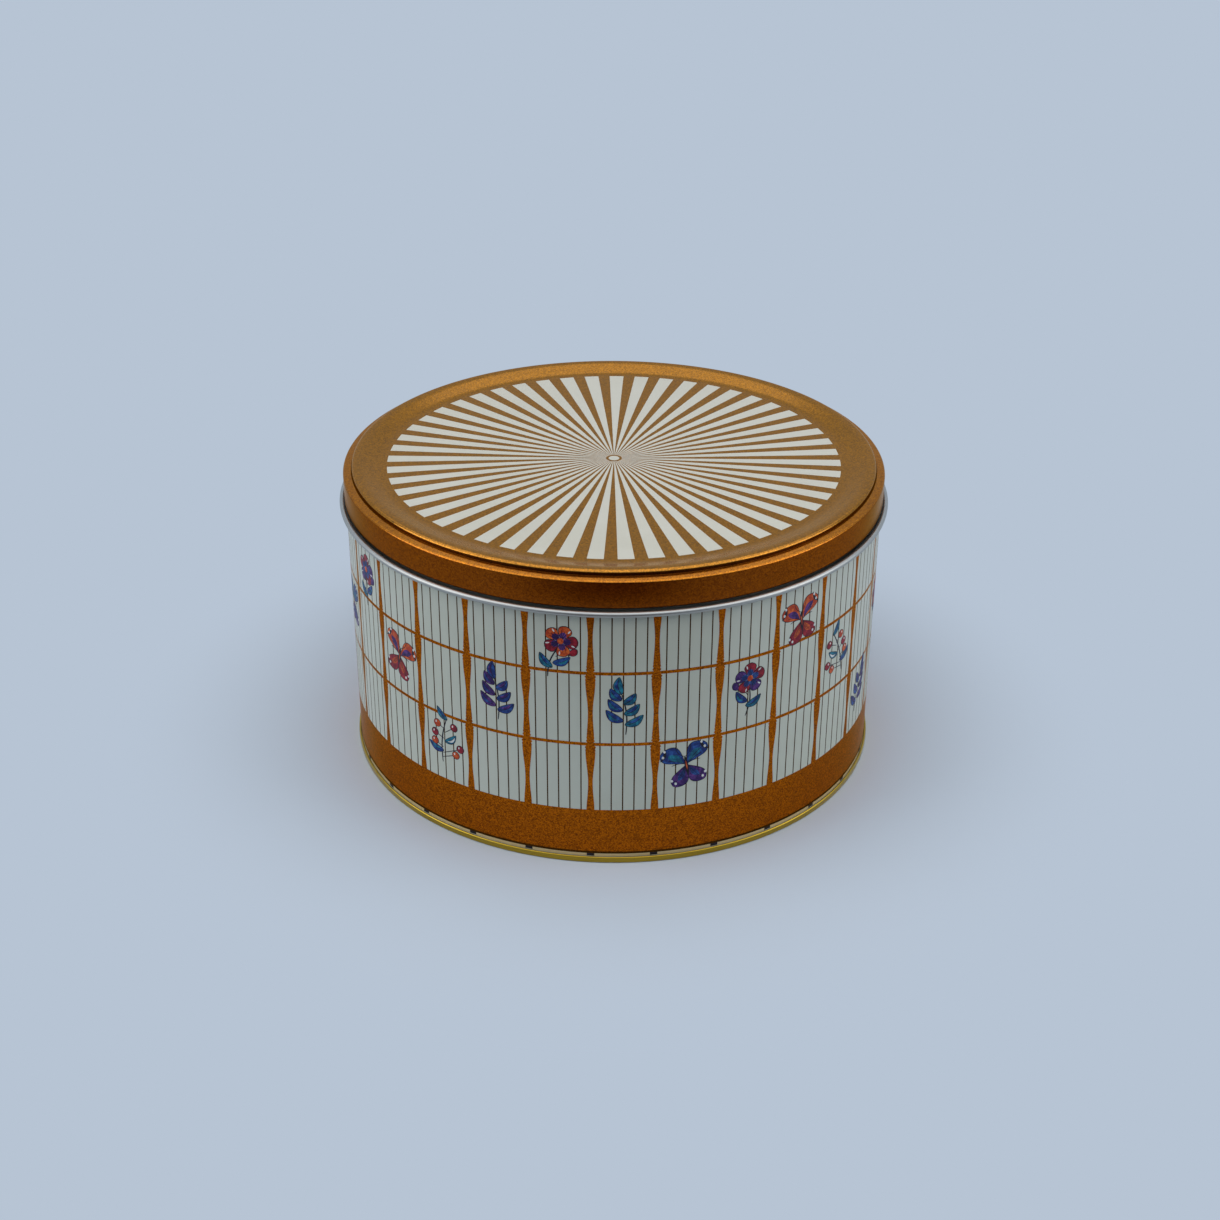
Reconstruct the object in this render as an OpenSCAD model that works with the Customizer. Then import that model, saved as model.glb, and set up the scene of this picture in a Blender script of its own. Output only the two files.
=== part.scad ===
// Round tinplate tea caddy with a slip lid.
// Every piece is one sheet: a line through the middle of the sheet is drawn in section,
// given the thickness of the sheet, and turned once round the axis of the tin.

/* [Body] */
// Outside diameter of the printed wall
body_d = 200; // [150:1:260]
// Height from the floor to the top of the curled edge
body_h = 101.4; // [70:0.2:200]
// Thickness of the tinplate
sheet = 0.28; // [0.24:0.01:0.34]
// Outside diameter of the curl round the top edge of the wall
curl_d = 2.1; // [1.8:0.05:2.6]
// How far the wall flares out where it turns up into the curl
curl_flare = 0.68; // [0.6:0.02:0.9]
// How far the curl is rolled, from the wall round to its cut edge
curl_turn = 305; // [270:1:315]

/* [Side seam] */
// Width of the folded side seam on the inside of the wall
lap_w = 4.5; // [3:0.5:8]
// Depth of the line that the fold leaves on the outside
lap_line = 0.1; // [0.05:0.01:0.15]
// Plain length left at each end of the fold
lap_end = 4; // [2:0.5:10]

/* [Base] */
// Height of the double seam that joins the base to the wall
seam_h = 2.4; // [2.2:0.05:3.2]
// Gap between the sheets folded into the double seam
seam_gap = 0.04; // [0.02:0.01:0.08]
// Length over which the two hooks of the double seam overlap
hook_lap = 0.75; // [0.5:0.05:0.9]
// Height of the sunk base above the floor
base_sink = 3.2; // [2.8:0.1:6]
// Rise of the middle of the base above its outer band
base_rise = 1; // [0.5:0.1:2]
// Width of the outer band of the base
base_band = 15; // [8:0.5:30]

/* [Neck ring] */
// Length of the band that is pressed into the wall
neck_grip = 11; // [6:0.5:25]
// Outside diameter of the hem round the top of the neck
neck_hem_d = 1.4; // [1.2:0.05:2]
// Clearance between the top of the neck and the shoulder of the lid that rests on it
neck_head = 0.3; // [0.2:0.05:0.6]

/* [Lid] */
// Height of the lid from its hem to its rim
lid_h = 12.65; // [11:0.05:30]
// How far the skirt stands out past the body wall
lid_out = 0.6; // [0.4:0.05:0.8]
// Outside diameter of the hem round the lower edge of the skirt
hem_d = 1.8; // [1.5:0.05:2.2]
// Clearance between the hem and the neck that it slides over
lid_play = 0.35; // [0.3:0.01:0.6]
// Gap between the curl and the hem of the lid above it
lid_gap = 0.45; // [0.35:0.05:1]
// Width of the shoulder, from the skirt in to the step
shoulder_w = 3.2; // [2.8:0.05:8]
// Radius of the outer corner of the shoulder
shoulder_r = 0.9; // [0.8:0.05:1.4]
// Slope of the shoulder, down towards its outer corner
shoulder_slope = 8; // [4:1:12]
// Height of the step from the shoulder up to the rim
step_h = 1.95; // [1.7:0.05:4]
// Radius of the top edge of the rim
rim_edge_r = 1.2; // [0.8:0.05:1.4]
// Depth of the panel below the rim
panel_sink = 2.2; // [1.2:0.05:3]
// Slope of the rim's inner side
rim_slope = 17; // [14:1:30]
// Radius where the panel turns up into the slope
panel_r = 13; // [6:0.5:16]
// Radius where the slope levels off into the rim
rim_r = 12; // [6:0.5:14]

/* [Hidden] */
$fn = 180;
half = sheet / 2;
bend_r = 0.45;                                  // small bends, through the middle of the sheet
bend_steps = 6;                                 // straight runs in a quarter of a bend
roll_steps = 36;                                // straight runs in a curl or a hem
same_point = 0.001;                             // points nearer than this count as one

// Wall
wall_out = body_d / 2;
wall_in = wall_out - sheet;
wall_mid = wall_out - half;
curl_r = curl_d / 2 - half;                     // through the middle of the sheet
curl_start = wall_mid + curl_flare;
curl_x = curl_start + curl_r;
curl_z = body_h - curl_d / 2;
flare_turn = 45;
flare_run = (curl_flare - 2 * bend_r * (1 - cos(flare_turn))) / sin(flare_turn);
flare_foot = curl_z - 2 * bend_r * sin(flare_turn) - flare_run * cos(flare_turn);

// Double seam, sheet by sheet from the inside out
chuck_mid = wall_in - seam_gap - half;
end_hook_mid = wall_out + seam_gap + half;
body_hook_mid = wall_mid + 2 * (sheet + seam_gap);
seam_mid = end_hook_mid + 2 * (sheet + seam_gap);
hook_r = sheet + seam_gap;                      // radius of both hook folds
end_fold_z = seam_h - half - hook_r;            // centre of the fold at the top of the seam
body_fold_z = sheet + seam_gap + half + hook_r; // centre of the fold at the foot of the wall
body_hook_top = end_fold_z - half - seam_gap;   // the compound lies above it
end_hook_end = body_hook_top - hook_lap;
compound_in_fold = sqrt(pow(hook_r - half - seam_gap / 4, 2) - pow(half, 2));

// Base
band_z = base_sink + half;
band_in = chuck_mid - base_band;

// Lid
skirt_out = wall_out + lid_out;
skirt_mid = skirt_out - half;
hem_r = hem_d / 2 - half;
hem_x = skirt_mid - hem_r;
lid_foot = body_h + lid_gap;
hem_z = lid_foot + hem_d / 2;
rim_top = lid_foot + lid_h;
rim_mid = rim_top - half;
step_mid = skirt_out - shoulder_w - half;
shoulder_mid = rim_mid - step_h;
corner_r = shoulder_r - half;
corner_x = skirt_mid - corner_r;
shoulder_run = corner_x - step_mid - bend_r + (corner_r + bend_r) * sin(shoulder_slope);
corner_z = shoulder_mid + bend_r - (corner_r + bend_r) * cos(shoulder_slope)
    - shoulder_run * tan(shoulder_slope);
edge_r = rim_edge_r - half;
edge_x = step_mid - edge_r;
panel_mid = rim_mid - panel_sink;
slope_drop = panel_sink - (panel_r + rim_r) * (1 - cos(rim_slope));
panel_x = edge_x - (panel_r + rim_r) * sin(rim_slope) - slope_drop / tan(rim_slope);

// Neck ring
neck_out = hem_x - hem_d / 2 - lid_play;
neck_mid = neck_out - half;
neck_hem_r = neck_hem_d / 2 - half;
neck_top = shoulder_mid - half - neck_head;
grip_mid = wall_in - seam_gap - half;
joggle_r = 2;
joggle_turn = 35;
joggle_run = (grip_mid - neck_mid - 2 * joggle_r * (1 - cos(joggle_turn))) / tan(joggle_turn);
joggle_h = 2 * joggle_r * sin(joggle_turn) + joggle_run;
joggle_top = curl_z - curl_d / 2;
grip_top = joggle_top - joggle_h;
grip_foot = grip_top - neck_grip;

// Points along a bend: centre, radius, and the angles where it starts and ends
function bend(c, r, from, to, n = bend_steps) =
    [for (i = [0:n]) let(a = from + (to - from) * i / n) c + r * [cos(a), sin(a)]];
function along(p, i) = (p[i + 1] - p[i]) / norm(p[i + 1] - p[i]);
function left_of(v) = [-v[1], v[0]];
// A line without points that fall on the one before
function cleaned(p) = [for (i = [0:len(p) - 1]) if (i == 0 || norm(p[i] - p[max(i - 1, 0)]) > same_point) p[i]];
// One face of the sheet: each point of its middle line moved sideways by d, mitred at the corners
function face_of(p, d) = [for (i = [0:len(p) - 1])
    let(a = left_of(along(p, max(i - 1, 0))), b = left_of(along(p, min(i, len(p) - 2))), m = a + b)
    p[i] + 2 * d * m / (m * m)];
function reversed(p) = [for (i = [len(p) - 1:-1:0]) p[i]];
// A sheet in section: both faces of a line through its middle
function section(p) = let(q = cleaned(p)) concat(face_of(q, half), reversed(face_of(q, -half)));

// A sheet turned once round the axis
module turned_sheet(line) {
    rotate_extrude()
        polygon(section(line));
}

// Middle line of the wall, from its flange at the foot up to its flare and its curl
function wall_line() = concat(
    [[body_hook_mid, body_hook_top]],
    bend([end_hook_mid, body_fold_z], hook_r, 0, -180, 2 * bend_steps),
    bend([wall_mid + bend_r, flare_foot], bend_r, 180, 180 - flare_turn),
    bend([curl_start - bend_r, curl_z], bend_r, -flare_turn, 0),
    bend([curl_x, curl_z], curl_r, 180, 180 - curl_turn, roll_steps));

// The folded side seam: two more sheets on the inside, and the line the fold leaves outside
module side_seam_fold() {
    fold_foot = base_sink + base_rise + sheet + lap_end;
    fold_h = grip_foot - lap_end - fold_foot;
    translate([0, 0, fold_foot])
        linear_extrude(fold_h)
            intersection() {
                difference() {
                    circle(wall_in + half);
                    circle(wall_in - 2 * sheet);
                }
                translate([-lap_w / 2, 0])
                    square([lap_w, body_d]);
            }
}

module side_seam_line() {
    translate([lap_w / 2, wall_out - lap_line, seam_h + lap_end])
        cube([lap_line * 2, lap_line * 3, curl_z - curl_d - seam_h - lap_end]);
}

// Printed side sheet with its curl, side seam and flange
module body_wall() {
    color("ivory")
        difference() {
            union() {
                turned_sheet(wall_line());
                side_seam_fold();
            }
            side_seam_line();
        }
}

// Middle line of the base, from its centre out to the hook of the double seam
function base_line() = concat(
    [[0, band_z + base_rise]],
    bend([band_in - bend_r, band_z + base_rise - bend_r], bend_r, 90, 30),
    bend([band_in + bend_r * 2, band_z + bend_r], bend_r, 210, 270),
    bend([chuck_mid - bend_r, band_z - bend_r], bend_r, 90, 0),
    bend([chuck_mid + bend_r, half + bend_r], bend_r, 180, 270),
    bend([seam_mid - bend_r, half + bend_r], bend_r, -90, 0),
    bend([seam_mid - hook_r, end_fold_z], hook_r, 0, 180, 2 * bend_steps),
    [[end_hook_mid, end_hook_end]]);

// Sunk base, with the outer half of the double seam
module base() {
    color("darkkhaki")
        turned_sheet(base_line());
}

// Lining compound in the top of the double seam: it stands on the flange of the wall
// and reaches up into the fold of the base until its edges meet the curve of the sheet
module seam_compound() {
    color("tan")
        rotate_extrude()
            translate([body_hook_mid - half, end_fold_z - half])
                square([sheet, half + compound_in_fold]);
}

// Collar pressed into the mouth, drawn in at a joggle and hemmed inwards at its top
function neck_line() = concat(
    [[grip_mid, grip_foot]],
    bend([grip_mid - joggle_r, grip_top], joggle_r, 0, joggle_turn),
    bend([neck_mid + joggle_r, joggle_top], joggle_r, 180 + joggle_turn, 180),
    bend([neck_mid - neck_hem_r, neck_top - neck_hem_d / 2], neck_hem_r, 0, 270, roll_steps));

module neck_ring() {
    color("silver")
        turned_sheet(neck_line());
}

// Middle line of the lid: sunk panel, raised rim, step, sloped shoulder, skirt and hem
function lid_line() = concat(
    [[0, panel_mid]],
    bend([panel_x, panel_mid + panel_r], panel_r, -90, rim_slope - 90),
    bend([edge_x, rim_mid - rim_r], rim_r, 90 + rim_slope, 90),
    bend([edge_x, rim_mid - edge_r], edge_r, 90, 0),
    bend([step_mid + bend_r, shoulder_mid + bend_r], bend_r, 180, 270 - shoulder_slope),
    bend([corner_x, corner_z], corner_r, 90 - shoulder_slope, 0, 2 * bend_steps),
    bend([hem_x, hem_z], hem_r, 0, -280, roll_steps));

module lid() {
    color("peru")
        turned_sheet(lid_line());
}

body_wall();
base();
seam_compound();
neck_ring();
lid();
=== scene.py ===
# %% [markdown]
# # A round tea caddy of printed tinplate
# The real tin is made of thin sheet: a wall rolled into a cylinder, a base folded on to its
# foot, a collar pressed into its mouth, and a lid drawn from one disc. The construction is
# already packed, and this file dresses it. Every piece here is a line through the middle of
# the sheet, given its thickness and turned round the axis, and every colour printed on the
# tin is a thin film of ink on top of that.

# %% Load the frame
import math

import bpy
import numpy as np
from mathutils import Matrix, Vector


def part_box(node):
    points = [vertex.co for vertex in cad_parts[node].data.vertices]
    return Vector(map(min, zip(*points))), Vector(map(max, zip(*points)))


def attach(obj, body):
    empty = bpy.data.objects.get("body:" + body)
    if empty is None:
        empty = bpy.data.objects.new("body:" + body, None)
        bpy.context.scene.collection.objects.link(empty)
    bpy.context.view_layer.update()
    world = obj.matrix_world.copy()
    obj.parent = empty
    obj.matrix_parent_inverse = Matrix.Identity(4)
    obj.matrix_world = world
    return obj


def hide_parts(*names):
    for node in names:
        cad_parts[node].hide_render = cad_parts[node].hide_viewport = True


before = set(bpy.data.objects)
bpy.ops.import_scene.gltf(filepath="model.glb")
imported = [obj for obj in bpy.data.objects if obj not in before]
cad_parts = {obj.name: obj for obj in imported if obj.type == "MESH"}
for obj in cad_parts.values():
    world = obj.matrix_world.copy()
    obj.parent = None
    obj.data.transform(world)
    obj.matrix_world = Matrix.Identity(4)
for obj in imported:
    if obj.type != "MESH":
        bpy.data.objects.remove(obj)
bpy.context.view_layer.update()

# %% [markdown]
# The sheets lie in the frame in metres, so a value in millimetres is multiplied by MM.
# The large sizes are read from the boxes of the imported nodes. What a box can't tell, such
# as the thickness of the sheet or the radius of a bend, is written here by its name.

# %% Sizes of the sheets
MM = 0.001
SHEET = 0.28 * MM
HALF = SHEET / 2
SEAM_GAP = 0.04 * MM
CURL_D = 2.1 * MM
CURL_FLARE = 0.68 * MM
HEM_D = 1.8 * MM
NECK_HEM_D = 1.4 * MM
BEND_R = 0.45 * MM
SAME_POINT = 0.001 * MM
SAME_FACE = 0.01 * MM


def high(node):
    """The top of a node and its outside radius, to a hundredth of a millimetre."""
    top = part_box(node)[1]
    return round(top.z, 5), round(top.x, 5)


wall_top, curl_out = high("body_wall")
lid_top, skirt_out = high("lid")
seam_out = high("base")[1]
neck_top = high("neck_ring")[0]
neck_foot = round(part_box("neck_ring")[0].z, 5)
lid_foot = round(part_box("lid")[0].z, 5)
CURL_R = CURL_D / 2 - HALF
WALL_R = curl_out - CURL_D - CURL_FLARE + SHEET
print("wall radius", WALL_R, "lid radius", skirt_out, "seam radius", seam_out, "height", lid_top)

# %% [markdown]
# ## Drawing a sheet in section
# A press shop draws a tin in section, as one line with straight runs and bends. Here each
# bend is an arc from a formula, a line is the runs laid end to end, and both faces of the
# sheet lie half a thickness to either side of it. A Solidify modifier could thicken an
# open surface, but its corners pinch inside a curl, so the closed outline is worked out.

# %% Lines, bends and sheets


def bend(centre_r, centre_z, radius, start, stop, steps=10):
    """An arc: the centre plus the radius times the cosine and sine of an angle in degrees."""
    a = np.radians(np.linspace(start, stop, steps + 1))
    return np.column_stack([centre_r + radius * np.cos(a), centre_z + radius * np.sin(a)])


def run(*stretches):
    """Stretches joined end to end, without points that fall on the one before."""
    line = np.vstack(stretches)
    apart = np.linalg.norm(np.diff(line, axis=0), axis=1) > SAME_POINT
    return line[np.concatenate([[True], apart])]


def sheet_outline(line):
    """Both faces of a sheet: each point moves half a thickness along the mean of the
    normals on its two sides, lengthened so that the sheet keeps its thickness at a bend.
    The left face comes back along the right one, so the outline is one closed loop."""
    along = np.diff(line, axis=0)
    along /= np.linalg.norm(along, axis=1)[:, None]
    normal = np.column_stack([-along[:, 1], along[:, 0]])
    total = np.vstack([normal[:1], normal]) + np.vstack([normal, normal[-1:]])
    mitre = 2 * total / (total**2).sum(axis=1)[:, None]
    return np.vstack([line + HALF * mitre, (line - HALF * mitre)[::-1]])


# %% [markdown]
# ## Turning an outline into a closed skin
# The outline is turned once round the axis on a grid: one row for each of its points and
# one column for each angle. Points on the axis would give a heap of vertices in one place,
# so such a row is a single vertex with a fan of triangles round it. Angles count from the
# front of the tin, where Y is lowest, towards positive X.

# %% A mesh from arrays
COLUMNS = 448
SHARP_TURN = 32


def mesh_object(name, points, quads, triangles=None, slots=None):
    """An object from arrays of points and of corners, smooth but for its sharp edges."""
    triangles = np.zeros((0, 3), int) if triangles is None else triangles
    mesh = bpy.data.meshes.new(name)
    mesh.vertices.add(len(points))
    mesh.vertices.foreach_set("co", np.asarray(points, np.float32).ravel())
    corners = np.concatenate([quads.ravel(), triangles.ravel()])
    starts = np.concatenate([np.arange(len(quads)) * 4, len(quads) * 4 + np.arange(len(triangles)) * 3])
    mesh.loops.add(len(corners))
    mesh.loops.foreach_set("vertex_index", corners.astype(np.int32))
    mesh.polygons.add(len(starts))
    mesh.polygons.foreach_set("loop_start", starts.astype(np.int32))
    if slots is not None:
        mesh.polygons.foreach_set("material_index", slots.astype(np.int32))
    mesh.update(calc_edges=True)
    mesh.validate()
    mesh.shade_smooth()
    mesh.set_sharp_from_angle(angle=math.radians(SHARP_TURN))
    piece = bpy.data.objects.new(name, mesh)
    bpy.context.scene.collection.objects.link(piece)
    print(name, len(mesh.vertices), "points", len(mesh.polygons), "faces")
    return piece


def columns(extra=()):
    """Evenly spaced angles in degrees round the axis, with a few more where they are needed."""
    return np.unique(np.concatenate([np.arange(COLUMNS) * 360 / COLUMNS, extra]))


def round_axis(radius, angle, height):
    """A point at a radius, at an angle in degrees from the front, at a height."""
    a = np.radians(angle)
    return np.stack(np.broadcast_arrays(radius * np.sin(a), -radius * np.cos(a), height), -1)


def turned(name, outline, angles, face_slot=None, dent=None):
    """The closed skin that an outline sweeps: radius and height from its row, direction
    from its column. face_slot gives each row a material, and dent moves points inwards."""
    r, z = outline[:, 0], outline[:, 1]
    if np.sum(r * np.roll(z, -1) - np.roll(r, -1) * z) < 0:
        r, z = r[::-1], z[::-1]
        face_slot = None if face_slot is None else np.roll(face_slot[::-1], -1)
    rows, cols = len(r), len(angles)
    radius = np.repeat(r[:, None], cols, axis=1)
    if dent is not None:
        radius = radius - dent(radius, angles[None, :], z[:, None])
    pole = r < SAME_POINT
    number = np.arange(rows * cols).reshape(rows, cols)
    number[pole] = number[pole, :1]
    points = round_axis(radius, angles[None, :], z[:, None]).reshape(-1, 3)
    low, top = number, np.roll(number, -1, axis=0)
    cell = np.stack([low, np.roll(low, -1, 1), np.roll(top, -1, 1), top], -1)
    next_pole = np.roll(pole, -1)
    full = ~pole & ~next_pole
    first, last = pole & ~next_pole, ~pole & next_pole
    fans = [cell[first][..., [0, 2, 3]], cell[last][..., [0, 1, 2]]]
    triangles = np.concatenate([f.reshape(-1, 3) for f in fans])
    slots = np.zeros(rows, int) if face_slot is None else np.asarray(face_slot)
    each = np.concatenate([np.repeat(slots[kind], cols) for kind in (full, first, last)])
    used, where = np.unique(np.concatenate([cell[full].ravel(), triangles.ravel()]), return_inverse=True)
    quads = where[: full.sum() * cols * 4].reshape(-1, 4)
    return mesh_object(name, points[used], quads, where[quads.size :].reshape(-1, 3), each)


# %% [markdown]
# ## The double seam and the base
# The foot of the tin is a double seam: the edge of the wall is turned up into a hook, the
# edge of the base is rolled round it, and both are pressed flat. Five layers of sheet then
# lie side by side, and a lining compound in the top of the fold keeps it airtight. The
# layers are counted outwards from the wall, as a can maker counts them.

# %% Layers of the double seam
LAYER = SHEET + SEAM_GAP
chuck_mid = WALL_R - SHEET - SEAM_GAP - HALF
end_hook_mid = WALL_R + SEAM_GAP + HALF
flange_mid = WALL_R - HALF + 2 * LAYER
seam_mid = end_hook_mid + 2 * LAYER
HOOK_LAP = 0.75 * MM
SEAM_H = 2.4 * MM
end_fold_z = SEAM_H - HALF - LAYER
wall_fold_z = LAYER + HALF + LAYER
flange_top = end_fold_z - HALF - SEAM_GAP
BASE_SINK = 3.2 * MM
BASE_RISE = 1.0 * MM
BASE_BAND = 15 * MM
band_z = BASE_SINK + HALF
band_in = chuck_mid - BASE_BAND
print("seam from", round(chuck_mid / MM, 2), "to", round(seam_mid / MM, 2), "mm")

# %% The base
base_line = run(
    [[0, band_z + BASE_RISE]],
    bend(band_in - BEND_R, band_z + BASE_RISE - BEND_R, BEND_R, 90, 30),
    bend(band_in + 2 * BEND_R, band_z + BEND_R, BEND_R, 210, 270),
    bend(chuck_mid - BEND_R, band_z - BEND_R, BEND_R, 90, 0),
    bend(chuck_mid + BEND_R, HALF + BEND_R, BEND_R, 180, 270),
    bend(seam_mid - BEND_R, HALF + BEND_R, BEND_R, -90, 0),
    bend(seam_mid - LAYER, end_fold_z, LAYER, 0, 180, 18),
    [[end_hook_mid, flange_top - HOOK_LAP]],
)
base_shell = turned("base_shell", sheet_outline(base_line), columns())
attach(base_shell, "tin")
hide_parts("base")

# %% The lining compound
compound_top = end_fold_z + math.sqrt((LAYER - HALF - SEAM_GAP / 4) ** 2 - HALF**2)
compound_edge = np.array([
    [flange_mid - HALF, end_fold_z - HALF], [flange_mid + HALF, end_fold_z - HALF],
    [flange_mid + HALF, compound_top], [flange_mid - HALF, compound_top],
])
compound_ring = turned("compound_ring", compound_edge, columns())
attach(compound_ring, "tin")
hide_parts("seam_compound")

# %% [markdown]
# ## The wall
# The wall is printed flat, cut to length and rolled. Its two ends are hooked together in
# a folded seam at the back: two more sheets on the inside, and on the outside no more than
# a shallow line. Its top edge flares out a little and is rolled into a curl, a safe edge
# just below the lid. The printers stop under the flare, so that the curl is bare tinplate.
# The grid gets a few extra columns where the line and the fold lie.

# %% The wall and its curl
LINE_DEPTH = 0.1 * MM
LINE_W = 0.2 * MM
FOLD_W = 4.5 * MM
FOLD_END = 4 * MM
LINE_SLOPE = 0.01
SAME_ANGLE = 0.001
FLARE_TURN = 45
CURL_TURN = 305
turn = math.radians(FLARE_TURN)
curl_start = WALL_R - HALF + CURL_FLARE
curl_x, curl_z = curl_start + CURL_R, wall_top - CURL_D / 2
flare_run = (CURL_FLARE - 2 * BEND_R * (1 - math.cos(turn))) / math.sin(turn)
flare_foot = curl_z - 2 * BEND_R * math.sin(turn) - flare_run * math.cos(turn)
PRINT_TOP = flare_foot - 0.1 * MM
line_from = 180 - math.degrees((FOLD_W / 2 + LINE_W) / WALL_R)
line_to = 180 - math.degrees(FOLD_W / 2 / WALL_R)
line_edges = [line_from - LINE_SLOPE, line_from, line_to, line_to + LINE_SLOPE]
line_foot, line_head = SEAM_H + FOLD_END, curl_z - CURL_D


def seam_line(radius, angle, height):
    """The depth of the line that the seam leaves in the outer face, and nothing elsewhere."""
    outside = np.abs(radius - WALL_R) < HALF / 2
    beside = (angle >= line_from - SAME_ANGLE) & (angle <= line_to + SAME_ANGLE)
    between = (height > line_foot) & (height < line_head)
    return LINE_DEPTH * (outside & beside & between)


straight = [SEAM_H, line_foot, line_foot + SAME_FACE, line_head - SAME_FACE, line_head, PRINT_TOP]
wall_line = run(
    [[flange_mid, flange_top]],
    bend(end_hook_mid, wall_fold_z, LAYER, 0, -180, 18),
    np.column_stack([np.full(len(straight), WALL_R - HALF), straight]),
    bend(WALL_R - HALF + BEND_R, flare_foot, BEND_R, 180, 180 - FLARE_TURN, 6),
    bend(curl_start - BEND_R, curl_z, BEND_R, -FLARE_TURN, 0, 6),
    bend(curl_x, curl_z, CURL_R, 180, 180 - CURL_TURN, 40),
)
wall_edge = sheet_outline(wall_line)
following = np.roll(wall_edge, -1, axis=0)
printed = (
    (np.abs(wall_edge[:, 0] - WALL_R) < SAME_FACE)
    & (np.abs(following[:, 0] - WALL_R) < SAME_FACE)
    & (np.maximum(wall_edge[:, 1], following[:, 1]) < PRINT_TOP + SAME_FACE)
)
wall_shell = turned("wall_shell", wall_edge, columns(line_edges), printed.astype(int), seam_line)
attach(wall_shell, "tin")
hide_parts("body_wall")
print("printed rows of the wall", int(printed.sum()))

# %% [markdown]
# ## The collar in the mouth
# A collar of bare sheet is pressed into the mouth, as close to the wall as the base is at
# the foot. It is drawn in at a joggle, so that the lid's hem can slide over it. Its top edge
# is hemmed inwards, so that nobody is cut and the lid's shoulder has something to rest on.

# %% The neck ring
JOGGLE_R = 2 * MM
JOGGLE_TURN = 35
NECK_HEM_TURN = 270
LID_PLAY = 0.35 * MM
hem_x = skirt_out - HALF - (HEM_D / 2 - HALF)
neck_mid = hem_x - HEM_D / 2 - LID_PLAY - HALF
grip_mid = chuck_mid
turn = math.radians(JOGGLE_TURN)
joggle_run = (grip_mid - neck_mid - 2 * JOGGLE_R * (1 - math.cos(turn))) / math.tan(turn)
joggle_top = curl_z - CURL_D / 2
grip_top = joggle_top - 2 * JOGGLE_R * math.sin(turn) - joggle_run
neck_roll = NECK_HEM_D / 2 - HALF
neck_line = run(
    [[grip_mid, neck_foot]],
    bend(grip_mid - JOGGLE_R, grip_top, JOGGLE_R, 0, JOGGLE_TURN),
    bend(neck_mid + JOGGLE_R, joggle_top, JOGGLE_R, 180 + JOGGLE_TURN, 180),
    bend(neck_mid - neck_roll, neck_top - NECK_HEM_D / 2, neck_roll, 0, NECK_HEM_TURN, 32),
)
neck_shell = turned("neck_shell", sheet_outline(neck_line), columns())
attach(neck_shell, "tin")
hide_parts("neck_ring")

# %% [markdown]
# ## The lid
# The lid is drawn from one printed disc. From the middle outwards it has a flat panel, a
# soft raised rim, a short step down, a sloped shoulder, and a skirt that ends in a hem
# rolled inwards. The soft curve between panel and rim makes the stripe of light on a real
# tin. The skirt and the foot of the step get darker copies of the lid's copper, as painted
# shade, and the shoulder gets a brighter copy, as a painted highlight. The outline starts with
# the outer face, which alone is printed.

# %% The lid in section
RIM_SLOPE = 17
PANEL_R = 13 * MM
RIM_R = 12 * MM
RIM_EDGE_R = 1.2 * MM - HALF
PANEL_SINK = 2.2 * MM
STEP_H = 1.95 * MM
SHOULDER_W = 3.2 * MM
SHOULDER_SLOPE = 8
CORNER_R = 0.9 * MM - HALF
HEM_TURN = 280
# Faces of the lid by finish: skirt and step foot for painted shade, shoulder for a painted highlight.
ON_TOP, ON_SKIRT_PAINTED_SHADE, ON_SHOULDER_PAINTED_HIGHLIGHT, ON_STEP_PAINTED_SHADE = 1, 2, 3, 4
step_mid = skirt_out - SHOULDER_W - HALF
rim_mid = lid_top - HALF
panel_mid = rim_mid - PANEL_SINK
shoulder_mid = rim_mid - STEP_H
rim_x = step_mid - RIM_EDGE_R
slope = math.radians(RIM_SLOPE)
slope_drop = PANEL_SINK - (PANEL_R + RIM_R) * (1 - math.cos(slope))
panel_x = rim_x - (PANEL_R + RIM_R) * math.sin(slope) - slope_drop / math.tan(slope)
skirt_mid = skirt_out - HALF
corner_x = skirt_mid - CORNER_R
lean = math.radians(SHOULDER_SLOPE)
shoulder_run = corner_x - step_mid - BEND_R + (CORNER_R + BEND_R) * math.sin(lean)
corner_drop = (CORNER_R + BEND_R) * math.cos(lean) + shoulder_run * math.tan(lean)
corner_z = shoulder_mid + BEND_R - corner_drop
lid_line = run(
    [[0, panel_mid], [panel_x / 3, panel_mid], [panel_x * 2 / 3, panel_mid]],
    bend(panel_x, panel_mid + PANEL_R, PANEL_R, -90, RIM_SLOPE - 90, 12),
    bend(rim_x, rim_mid - RIM_R, RIM_R, 90 + RIM_SLOPE, 90, 12),
    bend(rim_x, rim_mid - RIM_EDGE_R, RIM_EDGE_R, 90, 0, 14),
    bend(step_mid + BEND_R, shoulder_mid + BEND_R, BEND_R, 180, 270 - SHOULDER_SLOPE, 8),
    bend(corner_x, corner_z, CORNER_R, 90 - SHOULDER_SLOPE, 0, 12),
    bend(hem_x, lid_foot + HEM_D / 2, HEM_D / 2 - HALF, 0, -HEM_TURN, 30),
)
lid_edge = sheet_outline(lid_line)
lid_face = (np.arange(len(lid_edge)) < len(lid_line) - 1).astype(int)
edge_r, edge_z = lid_edge[:, 0], lid_edge[:, 1]
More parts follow.
